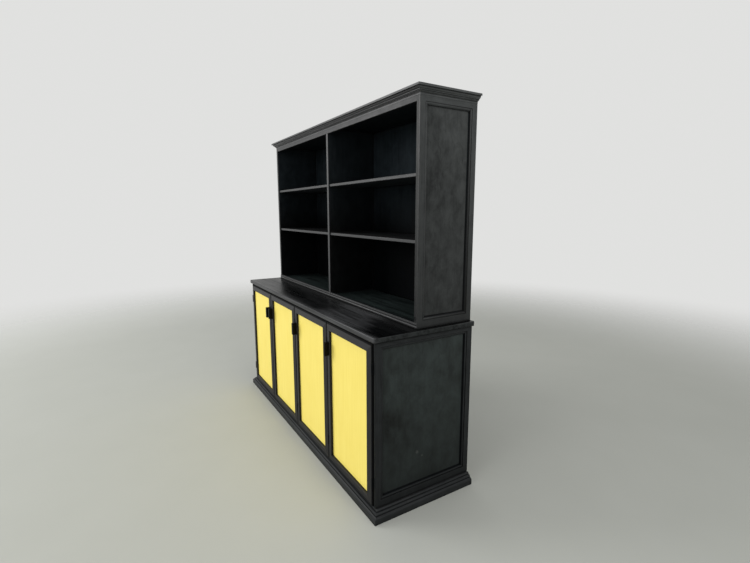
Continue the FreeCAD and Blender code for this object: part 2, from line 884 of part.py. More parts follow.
# cornice: a square fillet on top, two rounds below it, each set back under an undercut
cornice_shares = (
    (0.0, 1.0),
    (0.0, 0.77),
    (0.3, 0.77),
    (0.3, 0.71, (0.37, 0.58)),
    (0.52, 0.5),
    (0.52, 0.43),
    (0.68, 0.43),
    (0.68, 0.38, (0.74, 0.31)),
    (0.84, 0.28),
    (0.84, 0.24),
    (0.97, 0.24),
    (0.97, 0.0),
    (1.0, 0.0),
    (1.0, 1.0),
)
cornice_corners = scaled(cornice_shares, size.cornice_out, size.cornice_height)
cornice_low = hutch_top + size.cornice_rise - size.cornice_height
band("cornice", cornice_corners, size.cornice_out, hutch_half + size.cornice_out,
     hutch_front - size.cornice_out, cornice_low)

doc.recompute()
for made in doc.Objects:
    if "Invalid" in made.State or "Error" in made.State:
        raise RuntimeError("%s did not build: %s" % (made.Label, made.State))
for piece in pieces:
    if piece.Shape.isNull() or not piece.Shape.isValid():
        raise RuntimeError("%s has no valid shape" % piece.Label)

os.makedirs("parts", exist_ok=True)
for piece in pieces:
    piece.Shape.exportStep("parts/%s.step" % piece.Label)
print(len(pieces), "sub-parts,", sum(len(piece.Shape.Solids) for piece in pieces), "solids")
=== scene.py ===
import math

import bpy
from mathutils import Matrix, Vector

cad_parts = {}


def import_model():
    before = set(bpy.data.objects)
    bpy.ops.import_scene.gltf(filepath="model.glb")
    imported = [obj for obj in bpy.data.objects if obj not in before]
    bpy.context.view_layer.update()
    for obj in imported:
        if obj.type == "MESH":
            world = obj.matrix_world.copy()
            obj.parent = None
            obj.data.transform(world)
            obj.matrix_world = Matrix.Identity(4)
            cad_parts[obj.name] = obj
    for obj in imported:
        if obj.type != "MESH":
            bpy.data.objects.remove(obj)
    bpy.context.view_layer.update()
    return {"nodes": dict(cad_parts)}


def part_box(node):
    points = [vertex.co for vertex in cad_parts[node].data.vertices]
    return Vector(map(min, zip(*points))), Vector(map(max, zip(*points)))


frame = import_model()
nodes = frame["nodes"]

X, Y, Z = 0, 1, 2
AXES = {"X": X, "Y": Y, "Z": Z}
DOORS = (1, 2, 3, 4)

# Limits in metres between two paints on one piece, mostly where painted light and shade change. Each lies just
# off the face or edge it is named for.
BASE_END_FACE = 1.0135
BASE_FRONT_EDGE = -0.2861
HUTCH_END_INNER_FACE = 0.9857
HUTCH_FRONT_EDGE = -0.0322
DIVIDER_FRONT_EDGE = -0.0318
SHELF_FRONT_EDGE = -0.0236
BACK_REAR_FACE = 0.3255
WORKTOP_END_FACE = 1.0395
WORKTOP_NOSE = -0.2978
WORKTOP_RIM = -0.262
# A band at the foot of the worktop's nose, darkened with painted shade.
WORKTOP_SHADE_UNDER_NOSE = (0.9225, 0.9195)
PLINTH_END_FACE = 1.0075
PLINTH_FRONT_FACE = -0.2712
PLINTH_TOP_EDGE = 0.0555
DOORS_OUTER_EDGE = 1.0036
DOOR_GAPS = (0.0, 0.50225)
HALF_DOOR_GAP = 0.0014
END_FRAME_STILE = 0.032
BASE_SPAN = (0.06, 0.917)
HUTCH_SPAN = (0.98, 2.05)

# Bands in metres, counted inwards from the outline of a ring of beads or of a door. The door rim is painted shade
# along the gaps, and the bead bands are dark lines.
BEAD_RING = (0.0, 0.0203)
BEAD_INNER_RIM = (0.0108, 0.016)
DOOR_RIM = (0.0036, 0.0072)
DOOR_RIM_WIDER_ABOVE = 0.0015

# The middle of a paler band across the worktop, and the scuffs of use on the right end, each a place and its
# reach.
PALER_BAND_MIDDLE = 0.56
SCUFFS = (((1.014, -0.023, 0.279), 0.024), ((1.014, 0.010, 0.251), 0.013))

# Softened edges: points closer than the first are joined, and edges sharper than the second are bevelled.
WELD_REACH = 0.00001
BEVEL_ANGLE = math.radians(28)

# Inputs A and B and the result of the Mix node, by its data type.
MIX_SOCKETS = {"VECTOR": (4, 5, 1), "RGBA": (6, 7, 2)}

# Where most of a noise lies, from tight to wide.
TIGHT, MOST, WIDE = (0.38, 0.62), (0.36, 0.64), (0.3, 0.7)
STREAKS = (0.34, 0.66)

# Dark and light tone of the black paint, by where it lies. All are one paint: each copy is paler or darker with
# painted light and shade, by how light falls where it lies.
HUTCH = ((0.0085, 0.0095, 0.0095), (0.034, 0.0368, 0.0366))
BASE = ((0.0068, 0.0076, 0.0080), (0.0245, 0.0270, 0.0280))
FRONT = ((0.0130, 0.0135, 0.0142), (0.0290, 0.0300, 0.0310))
DOOR_FRAME = ((0.0044, 0.0043, 0.0050), (0.0128, 0.0126, 0.0144))
DIVIDER = ((0.0180, 0.0187, 0.0196), (0.0410, 0.0420, 0.0435))
# INSIDE is the paint darkened with painted shade for the insides of the carcass and bays; it also draws the dark
# lines round the beads.
INSIDE = ((0.0010, 0.0016, 0.0020), (0.0052, 0.0070, 0.0082))
HUTCH_FLOOR = ((0.0002, 0.0003, 0.0003), (0.0300, 0.0410, 0.0400))
# GAP is painted shade along the gaps round the doors.
GAP = ((0.0003, 0.0004, 0.0005), (0.0012, 0.0014, 0.0016))
REAR = ((0.0050, 0.0051, 0.0049), (0.0210, 0.0212, 0.0200))
HUTCH_END = ((0.0095, 0.0105, 0.0104), (0.052, 0.056, 0.0552))
BASE_END = ((0.0072, 0.0076, 0.0070), (0.034, 0.0425, 0.0410))
CORNICE = ((0.018, 0.0185, 0.0195), (0.043, 0.044, 0.0455))
HEADER = ((0.0075, 0.0078, 0.0083), (0.0185, 0.0191, 0.0200))
CORNICE_END = ((0.026, 0.0285, 0.0285), (0.088, 0.094, 0.0935))
WORKTOP = ((0.0006, 0.0008, 0.0009), (0.0080, 0.0085, 0.0089))
WORKTOP_PALER_BAND = ((0.012, 0.0125, 0.013), (0.042, 0.043, 0.045))
WORKTOP_END = ((0.012, 0.0135, 0.0135), (0.028, 0.031, 0.031))
WORKTOP_FRONT = ((0.024, 0.0245, 0.0255), (0.060, 0.061, 0.063))
# Painted shade in corners and joints and under the worktop's nose.
CREVICE_SHADE = (0.0007, 0.0008, 0.0009)


def even(scale):
    return (scale, scale, scale)


def squeezed(axis, cross, length):
    """A scale that draws noise out into strokes along one axis."""
    scale = [cross, cross, cross]
    scale[AXES[axis]] = length
    return scale


def opaque(color):
    return color + (1.0,) if isinstance(color, tuple) else color


class Look:
    """Short calls that build the nodes of one material."""

    def __init__(self, name):
        self.material = bpy.data.materials.new(name)
        self.material.use_nodes = True
        self.tree = self.material.node_tree
        self.shader = self.tree.nodes["Principled BSDF"]
        self.place = self.node("TexCoord").outputs["Object"]

    def node(self, kind, **settings):
        made = self.tree.nodes.new("ShaderNode" + kind)
        for name, value in settings.items():
            setattr(made, name, value)
        return made

    def put(self, socket, value):
        if isinstance(value, bpy.types.NodeSocket):
            self.tree.links.new(value, socket)
        else:
            socket.default_value = value

    def math(self, operation, first, second=0.0, clamp=False):
        made = self.node("Math", operation=operation, use_clamp=clamp)
        self.put(made.inputs[0], first)
        self.put(made.inputs[1], second)
        return made.outputs[0]

    def weighted(self, first, *others, clamp=False):
        """The sum of pairs of a value and its weight."""
        total = self.math("MULTIPLY", *first)
        for pair in others:
            last = pair is others[-1]
            total = self.math("ADD", total, self.math("MULTIPLY", *pair), clamp=clamp and last)
        return total

    def stretched(self, scale, shift=(0.0, 0.0, 0.0)):
        made = self.node("Mapping")
        self.put(made.inputs["Vector"], self.place)
        made.inputs["Location"].default_value = shift
        made.inputs["Scale"].default_value = scale
        return made.outputs[0]

    def noise(self, place, detail=3.0, rough=0.55, distortion=0.0):
        made = self.node("TexNoise")
        self.put(made.inputs["Vector"], place)
        made.inputs["Scale"].default_value = 1.0
        made.inputs["Detail"].default_value = detail
        made.inputs["Roughness"].default_value = rough
        made.inputs["Distortion"].default_value = distortion
        return made.outputs["Fac"]

    def remap(self, value, low, high, to_low=0.0, to_high=1.0, smooth=False):
        made = self.node("MapRange", interpolation_type="SMOOTHSTEP" if smooth else "LINEAR", clamp=True)
        for place, number in enumerate((value, low, high, to_low, to_high)):
            self.put(made.inputs[place], number)
        return made.outputs[0]

    def blend(self, kind, share, first, second):
        made = self.node("Mix", data_type=kind)
        start, end, result = MIX_SOCKETS[kind]
        self.put(made.inputs[0], share)
        self.put(made.inputs[start], first)
        self.put(made.inputs[end], second)
        return made.outputs[result]

    def mix(self, share, first, second):
        """A blend of two colours."""
        return self.blend("RGBA", share, opaque(first), opaque(second))

    def either(self, share, first, second):
        """One of two places, picked by a mask."""
        return self.blend("VECTOR", share, first, second)

    def apart(self, place=None):
        """The three parts of a place, by default of the shaded point itself."""
        made = self.node("SeparateXYZ")
        self.put(made.inputs[0], place or self.place)
        return made.outputs

    def shade(self, color, factor):
        made = self.node("VectorMath", operation="SCALE")
        self.put(made.inputs[0], color)
        self.put(made.inputs["Scale"], factor)
        return made.outputs[0]

    def bump(self, height, depth, normal=None):
        made = self.node("Bump")
        made.inputs["Strength"].default_value = 1.0
        made.inputs["Distance"].default_value = depth
        self.put(made.inputs["Height"], height)
        if normal is not None:
            self.put(made.inputs["Normal"], normal)
        return made.outputs[0]

    def bumps(self, *layers):
        """Bumps one on top of the other, each a height and a depth."""
        normal = None
        for height, depth in layers:
            normal = self.bump(height, depth, normal)
        return normal

    def arris(self, radius):
        """1 on sharp edges, 0 on flat faces."""
        bevel = self.node("Bevel", samples=4)
        bevel.inputs["Radius"].default_value = radius
        flat = self.node("NewGeometry").outputs["Normal"]
        made = self.node("VectorMath", operation="DOT_PRODUCT")
        self.put(made.inputs[0], bevel.outputs[0])
        self.put(made.inputs[1], flat)
        return self.remap(made.outputs["Value"], 0.995, 0.86)

    def worn_and_highlit(self, radius, grain, highest, worn_and_highlit_share):
        """Sharp edges, broken by a coarse noise, for edges paler from wear and painted highlight."""
        edge = self.arris(radius)
        broken = self.remap(self.noise(self.stretched(even(grain)), 4.0, 0.65), 0.42, highest)
        return self.math("MULTIPLY", self.math("MULTIPLY", edge, broken), worn_and_highlit_share)

    def crevice(self, reach):
        """1 deep in corners and joints, 0 in the open: the mask of painted shade."""
        made = self.node("AmbientOcclusion", samples=6)
        made.inputs["Distance"].default_value = reach
        return self.remap(made.outputs["AO"], 0.88, 0.46)

    def offset(self, axis, middle):
        """How far a place lies from a middle along an axis, either way."""
        return self.math("ABSOLUTE", self.math("SUBTRACT", self.apart()[axis], middle))

    def inward(self, low, high, axis):
        """How far a place lies inside the ends of a box along an axis."""
        half, middle = (high[axis] - low[axis]) / 2, (low[axis] + high[axis]) / 2
        return self.math("SUBTRACT", half, self.offset(axis, middle))

    def inset(self, low, high, axes):
        """How far a place lies inside the outline of a box, seen along the axis that isn't named."""
        return self.math("MINIMUM", *(self.inward(low, high, axis) for axis in axes))

    def near(self, place, reach, ragged):
        """1 close to a point, 0 beyond its reach, with a ragged rim."""
        made = self.node("VectorMath", operation="DISTANCE")
        self.put(made.inputs[0], self.place)
        made.inputs[1].default_value = place
        rim = self.noise(self.stretched(even(150.0)), 3.0, 0.6)
        away = self.math("ADD", made.outputs["Value"], self.math("MULTIPLY", rim, ragged))
        return self.remap(away, reach * 0.5, reach, 1.0, 0.0, smooth=True)

    def finish(self, color, roughness, normal, specular=None):
        """Links the shader. Its specular level stays a plain value, because the export drops a linked one."""
        self.put(self.shader.inputs["Base Color"], color)
        self.put(self.shader.inputs["Roughness"], roughness)
        self.put(self.shader.inputs["Normal"], normal)
        if specular is not None:
            self.shader.inputs["Specular IOR Level"].default_value = specular
        return self.material


def stile_mask(look, low, high, side, stile=None):
    """1 on the upright members of a frame, 0 on the level ones, mitred unless a stile width is given."""
    limit = look.inward(low, high, Z) if stile is None else stile
    return look.math("LESS_THAN", look.inward(low, high, AXES[side]), limit)


def strokes(look, along, cross, length, mask, side, shift):
    """A place for noise that follows the brush: along one axis, or round a frame by its mask."""
    if mask is None:
        return look.stretched(squeezed(along, cross, length), shift)
    upright = look.stretched(squeezed("Z", cross, length), shift)
    level = look.stretched(squeezed(side, cross, length), shift)
    return look.either(mask, level, upright)


def paint(name, tones, along="Z", frame_of=None, side=None, stile=None, inner_tone_where=None, inner=INSIDE,
          rough=(0.36, 0.54), worn_and_highlit_share=0.5, cloudy=1.0, patchy=0.5, streaky=1.0, relief=1.0, specular=0.3,
          scuffs=(), level=None, inner_painted_light=None, shift=(0.0, 0.0, 0.0), sweep=(85.0, 6.0), matt=0.0):
    """Brushed black satin paint: fine and broad strokes, cloudy patches, edges paler from wear and painted
    highlight, painted shade in corners and joints.

    frame_of is the box of a frame, round which the strokes run. The mask for the inner tones says where they lie
    instead; they mostly stand for painted shade. The two level functions scale the outer and inner tones with
    painted light and shade, and matt adds roughness where that mask is 1.
    """
    look = Look(name)
    mask = None if frame_of is None else stile_mask(look, *frame_of, side, stile)
    fine = look.noise(strokes(look, along, 520.0, 9.0, mask, side, shift), 2.0, 0.6)
    broad = look.noise(strokes(look, along, *sweep, mask, side, shift), 4.0, 0.62, 0.4)
    cloud = look.noise(look.stretched((17.0, 17.0, 12.0), shift), 7.0, 0.68, 0.25)
    patch = look.noise(look.stretched((3.4, 3.4, 2.6), shift), 3.0, 0.5, 0.3)
    grit = look.noise(look.stretched(even(900.0)), 2.0, 0.5)

    tone = look.weighted((look.remap(cloud, *MOST), 0.34 * cloudy),
                         (look.remap(broad, *STREAKS), 0.34 * streaky),
                         (look.remap(fine, *WIDE), 0.14 * streaky),
                         (look.remap(patch, *TIGHT), 0.36 * patchy), clamp=True)
    color = look.mix(tone, *tones)
    # Painted light and shade, by height and before front edges.
    if level is not None:
        color = look.shade(color, level(look))
    # Paler edges: wear, and painted highlight on the arrises.
    worn_and_highlit_tone = tuple(0.03 + value * 1.8 for value in tones[1])
    color = look.mix(look.worn_and_highlit(0.0016, 70.0, 0.62, worn_and_highlit_share), color, worn_and_highlit_tone)
    for place, reach in scuffs:
        scuff = look.math("MULTIPLY", look.near(place, reach, reach * 0.9), 0.45)
        color = look.mix(scuff, color, (0.10, 0.10, 0.095))
    duller = 0.0
    # The inner tones, mostly painted shade: inside faces, gaps, front edges in shade, and dark lines by the
    # beads.
    if inner_tone_where is not None:
        covered = inner_tone_where(look)
        duller = look.math("MULTIPLY", covered, matt)
        second = look.mix(tone, *inner)
        if inner_painted_light is not None:
            second = look.shade(second, inner_painted_light(look))
        color = look.mix(covered, color, second)
    # Painted shade in corners and joints, from ambient occlusion; these places are also made rougher.
    crevice_shade = look.crevice(0.014)
    color = look.mix(crevice_shade, color, CREVICE_SHADE)

    gloss = look.remap(look.weighted((cloud, 0.55), (broad, 0.45)), *MOST, *rough)
    gloss = look.math("ADD", gloss, look.math("ADD", look.math("MULTIPLY", crevice_shade, 0.4), duller), clamp=True)
    normal = look.bumps((grit, 0.00003 * relief), (fine, 0.00009 * relief), (broad, 0.0004 * relief * streaky))
    return look.finish(color, gloss, normal, specular)


def yellow(name, low, high, handle):
    """Pale yellow satin paint with faint upright brush lines, painted shadow of the frame along its edges, and
    darker round the handle.
    """
    look = Look(name)
    fine = look.noise(look.stretched((620.0, 620.0, 7.0)), 2.0, 0.6)
    broad = look.noise(look.stretched((95.0, 95.0, 2.5)), 3.0, 0.6, 0.2)
    cloud = look.noise(look.stretched((5.0, 5.0, 4.0)), 4.0, 0.6, 0.3)
    tone = look.weighted((broad, 0.55), (cloud, 0.3), (fine, 0.15))
    color = look.mix(look.remap(tone, *MOST), (0.86, 0.695, 0.140), (0.925, 0.765, 0.175))

    # Painted shadow of the frame along the panel's edges.
    wobble = look.math("MULTIPLY", look.noise(look.stretched(even(40.0)), 3.0, 0.6), 0.006)
    inset = look.math("ADD", look.inset(low, high, (X, Z)), wobble)
    color = look.mix(look.remap(inset, 0.007, 0.012, 0.3, 0.0, smooth=True), color, (0.55, 0.43, 0.075))

    squares = [look.math("POWER", look.offset(axis, handle[axis]), 2.0) for axis in (X, Z)]
    away = look.math("SQRT", look.math("ADD", *squares))
    away = look.math("ADD", away, look.math("MULTIPLY", cloud, 0.03))
    color = look.mix(look.remap(away, 0.03, 0.10, 0.22, 0.0, smooth=True), color, (0.62, 0.50, 0.11))
    normal = look.bumps((fine, 0.00006), (broad, 0.0002))
    return look.finish(color, look.remap(tone, *MOST, 0.55, 0.42), normal, 0.35)


def worktop_look():
    """Near-black painted board with a paler band and streaks along its length, dull patches and dark strokes,
    darker towards the right end by painted shade, its end and nose paler by painted light, and painted shade
    under the nose.
    """
    look = Look("worktop_paint")
    fine = look.noise(look.stretched((7.0, 480.0, 480.0)), 2.0, 0.6)
    broad = look.noise(look.stretched((2.4, 60.0, 60.0)), 3.0, 0.55, 0.15)
    sweep = look.noise(look.stretched((1.3, 11.0, 11.0), (0.4, 0.2, 0.0)), 3.0, 0.5, 0.25)
    patch = look.noise(look.stretched((3.0, 7.0, 7.0), (1.7, 0.6, 0.0)), 3.0, 0.5, 0.2)
    tone = look.weighted((broad, 0.35), (sweep, 0.3), (fine, 0.10), (patch, 0.25))
    streak = look.remap(broad, *STREAKS)
    across, deep, up = look.apart()

    # Painted shade: darker towards the right end.
    toward_left = look.remap(across, 1.05, 0.3, 0.25, 1.0)
    color = look.mix(look.math("MULTIPLY", look.remap(tone, 0.42, 0.62), toward_left), *WORKTOP)
    away = look.math("ADD", look.offset(X, PALER_BAND_MIDDLE), look.math("MULTIPLY", look.remap(sweep, *WIDE), 0.34))
    paler_band = look.remap(away, 0.20, 0.46, 1.0, 0.0, smooth=True)
    color = look.mix(paler_band, color, look.mix(streak, *WORKTOP_PALER_BAND))
    # The end face in a paler copy: painted light.
    end = look.math("GREATER_THAN", look.offset(X, 0.0), WORKTOP_END_FACE)
    color = look.mix(end, color, look.mix(streak, *WORKTOP_END))
    # The nose and the rim before it paler: painted highlight.
    nose = look.math("LESS_THAN", deep, WORKTOP_NOSE)
    rim = look.remap(deep, WORKTOP_RIM, WORKTOP_NOSE, 0.0, 0.6, smooth=True)
    color = look.mix(look.math("MAXIMUM", nose, rim), color, look.mix(streak, *WORKTOP_FRONT))
    # Painted shade under the nose.
    color = look.mix(look.remap(up, *WORKTOP_SHADE_UNDER_NOSE), color, CREVICE_SHADE)
    # Paler edges: wear, and painted highlight on the arrises.
    color = look.mix(look.worn_and_highlit(0.0018, 60.0, 0.6, 0.5), color, (0.13, 0.13, 0.128))
    # Painted shade in corners and joints.
    color = look.mix(look.crevice(0.012), color, CREVICE_SHADE)
    gloss = look.remap(tone, 0.40, 0.62, 0.24, 0.42)
    return look.finish(color, gloss, look.bumps((fine, 0.00008), (broad, 0.0003)), 0.09)


def timber(name):
    """Bare softwood with growth rings along the board and small pores, painted on the plinth's outer faces."""
    look = Look(name)
    bend = look.noise(look.stretched((2.0, 9.0, 9.0)), 3.0, 0.5, 0.4)
    pore = look.noise(look.stretched((14.0, 900.0, 900.0)), 2.0, 0.6)
    parts = look.apart(look.stretched((0.6, 70.0, 70.0)))
    rings = look.math("ADD", look.math("ADD", parts[Y], parts[Z]), look.math("MULTIPLY", bend, 26.0))
    band = look.remap(look.math("SINE", rings), -0.2, 1.0, smooth=True)
    color = look.mix(band, (0.56, 0.40, 0.22), (0.37, 0.22, 0.10))
    color = look.mix(look.remap(pore, 0.56, 0.72, 0.0, 0.45), color, (0.24, 0.14, 0.065))

    parts = look.apart()
    painted = (look.math("GREATER_THAN", look.offset(X, 0.0), PLINTH_END_FACE),
               look.math("LESS_THAN", parts[Y], PLINTH_FRONT_FACE),
               look.math("GREATER_THAN", look.math("ADD", parts[Z], look.math("MULTIPLY", bend, 0.004)),
                         PLINTH_TOP_EDGE))
    covered = look.math("MAXIMUM", look.math("MAXIMUM", painted[0], painted[1]), painted[2])
    color = look.mix(covered, color, even(0.004))
    return look.finish(color, look.remap(pore, *WIDE, 0.62, 0.8), look.bumps((band, 0.0001), (pore, 0.0002)))


def coated(name):
    """Black powder coat on the handles: pebbled, satin, with edges paler from wear and painted highlight."""
    look = Look(name)
    pebble = look.noise(look.stretched(even(1400.0)), 2.0, 0.5)
    cloud = look.noise(look.stretched(even(90.0)), 3.0, 0.6)
    color = look.mix(cloud, (0.0008, 0.0009, 0.0010), (0.0034, 0.0036, 0.0040))
    # Paler edges: wear, and painted highlight on the arrises.
    worn_and_highlit = look.math("MULTIPLY", look.arris(0.0012), look.remap(cloud, 0.45, 0.65))
    color = look.mix(look.math("MULTIPLY", worn_and_highlit, 0.4), color, (0.04, 0.04, 0.041))
    return look.finish(color, look.remap(cloud, *WIDE, 0.46, 0.6), look.bump(pebble, 0.00004), 0.08)


def steel(name, light, dark, metal):
    """Dulled steel with drawn lines and tarnish."""
    look = Look(name)
    lines = look.noise(look.stretched(squeezed("Z", 2200.0, 60.0)), 2.0, 0.5)
    cloud = look.noise(look.stretched(even(160.0)), 4.0, 0.6)
    color = look.mix(look.remap(cloud, 0.35, 0.65), dark, light)
    look.shader.inputs["Metallic"].default_value = metal
    specular = 0.5 if metal else 0.15
    return look.finish(color, look.remap(lines, *WIDE, 0.32, 0.5), look.bump(lines, 0.00002), specular)


def plastic(name):
    """Moulded black plastic with a fine spark texture."""
    look = Look(name)
    spark = look.noise(look.stretched(even(1800.0)), 2.0, 0.5)
    cloud = look.noise(look.stretched(even(60.0)), 3.0, 0.5)
    color = look.mix(cloud, even(0.018), even(0.03))
    return look.finish(color, look.remap(cloud, *WIDE, 0.45, 0.6), look.bump(spark, 0.00003))


def inner_of(limit):
    """The inner faces of a pair of end boards."""
    return lambda look: look.math("LESS_THAN", look.offset(X, 0.0), limit)


def behind(limit):
    """All that lies behind a board's front edge."""
    return lambda look: look.math("GREATER_THAN", look.apart()[Y], limit)


def before(limit):
    """The front edge of a board."""
    return lambda look: look.math("LESS_THAN", look.apart()[Y], limit)


def reveal(low, high):
    """The outer edges of a door and its rim along the gap round it, a little wider at the top, where painted
    shade lies.
    """
    lowered = (high[X], high[Y], high[Z] - DOOR_RIM_WIDER_ABOVE)
    return lambda look: look.remap(look.inset(low, lowered, (X, Z)), *DOOR_RIM, 1.0, 0.0)


def between(look, value, low, high):
    """1 where a value lies in a band."""
    return look.math("MULTIPLY", look.math("GREATER_THAN", value, low), look.math("LESS_THAN", value, high))


def bead_inset(look, low, high):
    """How far a place lies inside a ring of beads, at its foot and its back only."""
    return look.inset((low[X], low[Y] - 1.0, low[Z]), (high[X], high[Y], high[Z] + 1.0), (Y, Z))


def beside_beads(limit, low, high):
    """The inner faces of a pair of end boards, which take painted shade, and a dark line round a ring of beads,
    at its foot and its back.
    """
    def mask(look):
        line = between(look, bead_inset(look, low, high), *BEAD_RING)
        return look.math("MAXIMUM", inner_of(limit)(look), line)
    return mask


def bead_foot(low, high):
    """The beads' inner rim at the foot and the back."""
    return lambda look: between(look, bead_inset(look, low, high), *BEAD_INNER_RIM)


def painted_light_by_height(low, high, at_low, at_high, front=None, front_share=1.0):
    """Painted light and shade: a share that changes evenly with the height, and again before a front edge."""
    def share(look):
        found = look.remap(look.apart()[Z], low, high, at_low, at_high)
        if front is not None:
            edge = look.math("LESS_THAN", look.apart()[Y], front)
            found = look.math("MULTIPLY", found, look.remap(edge, 0.0, 1.0, 1.0, front_share))
        return found
    return share


def in_gaps(look):
    """The knuckles' sides in the gaps between doors and beside them, which take painted shade."""
    found = look.math("GREATER_THAN", look.offset(X, 0.0), DOORS_OUTER_EDGE)
    for gap in DOOR_GAPS:
        found = look.math("MAXIMUM", found, look.math("LESS_THAN", look.offset(X, gap), HALF_DOOR_GAP))
    return found


# Painted light and shade by height: on the base, in the bays, and on the hutch with its front edges darker.
base_painted_light = painted_light_by_height(*BASE_SPAN, 0.80, 1.30)
bay_painted_light = painted_light_by_height(1.40, 1.76, 0.28, 2.8)
hutch_painted_light = painted_light_by_height(*HUTCH_SPAN, 0.88, 2.05, front=HUTCH_FRONT_EDGE, front_share=0.32)


def bead_painted_light(look):
    """Painted light and shade as on the end frames, with the beads at the back darkened towards the foot by
    painted shade.
    """
    parts = look.apart()
    fade = look.remap(parts[Z], *HUTCH_SPAN, 0.06, 0.72)
    return look.math("MULTIPLY", hutch_painted_light(look), look.remap(parts[Y], 0.06, 0.27, 1.0, fade))


def dress(material, *names):
    """Gives all the named nodes one material."""
    for name in names:
        for slot in nodes[name].material_slots:
            slot.material = material


def ends(part, piece):
    """The names of a piece's left and right copies."""
    return [part + side + piece for side in ("_left_", "_right_")]


# Boards inside the carcass and the bays: the paint's copy darkened with painted shade.
dress(paint("paint_inside_level", INSIDE, along="X", worn_and_highlit_share=0.2, specular=0.18),
      "base_bottom", "base_top_rails", "base_shelf_left", "base_shelf_middle", "base_shelf_right",
      "hutch_top", "hutch_foot_rail")
dress(paint("paint_inside_upright", INSIDE, worn_and_highlit_share=0.2, specular=0.18),
      "base_centre_partition", "base_right_partition")
dress(paint("paint_hutch_floor", HUTCH_FLOOR, along="X", worn_and_highlit_share=0.2, cloudy=0.2, streaky=1.5, patchy=0.2,
            specular=0.04, sweep=(30.0, 2.5)),
      "hutch_bottom")
dress(paint("paint_back", INSIDE, worn_and_highlit_share=0.1, cloudy=1.4, streaky=1.4, specular=0.025, rough=(0.6, 0.8),
            level=bay_painted_light, inner_tone_where=behind(BACK_REAR_FACE), inner=REAR, sweep=(46.0, 1.5)),
      "base_back", "hutch_back")
# End boards: painted light and shade by height, painted shade on their inner faces, a dark line round the beads,
# and scuffs of use.
dress(paint("paint_base_side", BASE_END, patchy=1.3, cloudy=1.2, streaky=0.3, relief=1.2, specular=0.12,
            inner_tone_where=beside_beads(BASE_END_FACE, *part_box("base_panel_beads")),
            level=painted_light_by_height(0.10, 0.88, 0.62, 1.22), scuffs=SCUFFS),
      *ends("base", "side"))
dress(paint("paint_hutch_side", HUTCH_END, patchy=0.8, cloudy=1.7, streaky=0.4, relief=1.2, specular=0.14,
            inner_tone_where=beside_beads(HUTCH_END_INNER_FACE, *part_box("hutch_panel_beads")), inner_painted_light=bay_painted_light,
            level=painted_light_by_height(*HUTCH_SPAN, 0.68, 1.24, front=HUTCH_FRONT_EDGE, front_share=0.45)),
      *ends("hutch", "side"))
dress(paint("paint_divider", DIVIDER, inner_tone_where=behind(DIVIDER_FRONT_EDGE), inner_painted_light=bay_painted_light),
      "hutch_divider")
dress(paint("paint_shelf", FRONT, along="X", inner_tone_where=behind(SHELF_FRONT_EDGE), inner_painted_light=bay_painted_light),
      "shelf_lower_left", "shelf_lower_right", "shelf_upper_left", "shelf_upper_right")

# Long and deep faces of the cornice, rail, header and plinth in separate copies of the paint, paler or darker by
# painted light and shade.
dress(paint("paint_top_long", CORNICE, along="X"), "cornice_front")
dress(paint("paint_top_deep", CORNICE_END, along="Y"), "cornice_left", "cornice_right")
dress(paint("paint_rail_long", FRONT, along="X", specular=0.24, level=painted_light_by_height(0.952, 0.966, 1.05, 0.45)),
      "hutch_foot_moulding")
dress(paint("paint_header_long", HEADER, along="X", specular=0.22), "hutch_header")
dress(paint("paint_foot_long", BASE, along="X", specular=0.14), "plinth_moulding_front")
dress(paint("paint_foot_deep", BASE, along="Y", specular=0.14), "plinth_moulding_left", "plinth_moulding_right")

for part, tones, edge, frame_painted_light, beads_painted_light, gloss in (
        # The base's end frames take painted shade on their front edges.
        ("base", BASE, before(BASE_FRONT_EDGE), base_painted_light, base_painted_light, 0.12),
        ("hutch", HUTCH, None, hutch_painted_light, bead_painted_light, 0.24)):
    for node in ends(part, "frame"):
        dress(paint("paint_" + node, tones, frame_of=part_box(node), side="Y", stile=END_FRAME_STILE, inner_tone_where=edge,
                    level=frame_painted_light, specular=gloss), node)
    node = part + "_panel_beads"
    dress(paint("paint_" + node, tones, frame_of=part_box(node), side="Y", inner_tone_where=bead_foot(*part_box(node)),
                level=beads_painted_light, specular=gloss, worn_and_highlit_share=0.9), node)

for n in DOORS:
    door = "door_%d_" % n
    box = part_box(door + "frame")
    # The door frames take painted shade on their rims along the gaps.
    dress(paint("paint_" + door + "frame", DOOR_FRAME, frame_of=box, side="X", inner_tone_where=reveal(*box), inner=GAP,
                matt=0.6, specular=0.24, shift=(0.37 * n, 0.0, 0.21 * n)), door + "frame")
    handle_middle = [(low + high) / 2 for low, high in zip(*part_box(door + "handle"))]
    dress(yellow("yellow_" + door + "panel", *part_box(door + "panel"), handle_middle), door + "panel")

dress(coated("handle_powder_coat"), *("door_%d_handle" % n for n in DOORS))
# Hinges in the doors' paint, with painted shade on the knuckles in the gaps.
dress(paint("paint_hinges", DOOR_FRAME, inner_tone_where=in_gaps, worn_and_highlit_share=0.3, specular=0.2),
      "hinge_leaves_fixed", "hinge_pins", *("door_%d_hinge_leaves" % n for n in DOORS))
dress(steel("screw_steel", (0.36, 0.36, 0.37), (0.20, 0.20, 0.21), 1.0), "hinge_screws")
dress(steel("pin_black_steel", (0.006, 0.006, 0.0065), (0.0015, 0.0015, 0.0016), 0.0), "shelf_pins")
dress(plastic("catch_black_plastic"), "door_catches")
dress(worktop_look(), "worktop")
dress(timber("bare_softwood"), "plinth_long_boards", "plinth_bearers", "hutch_dowels")

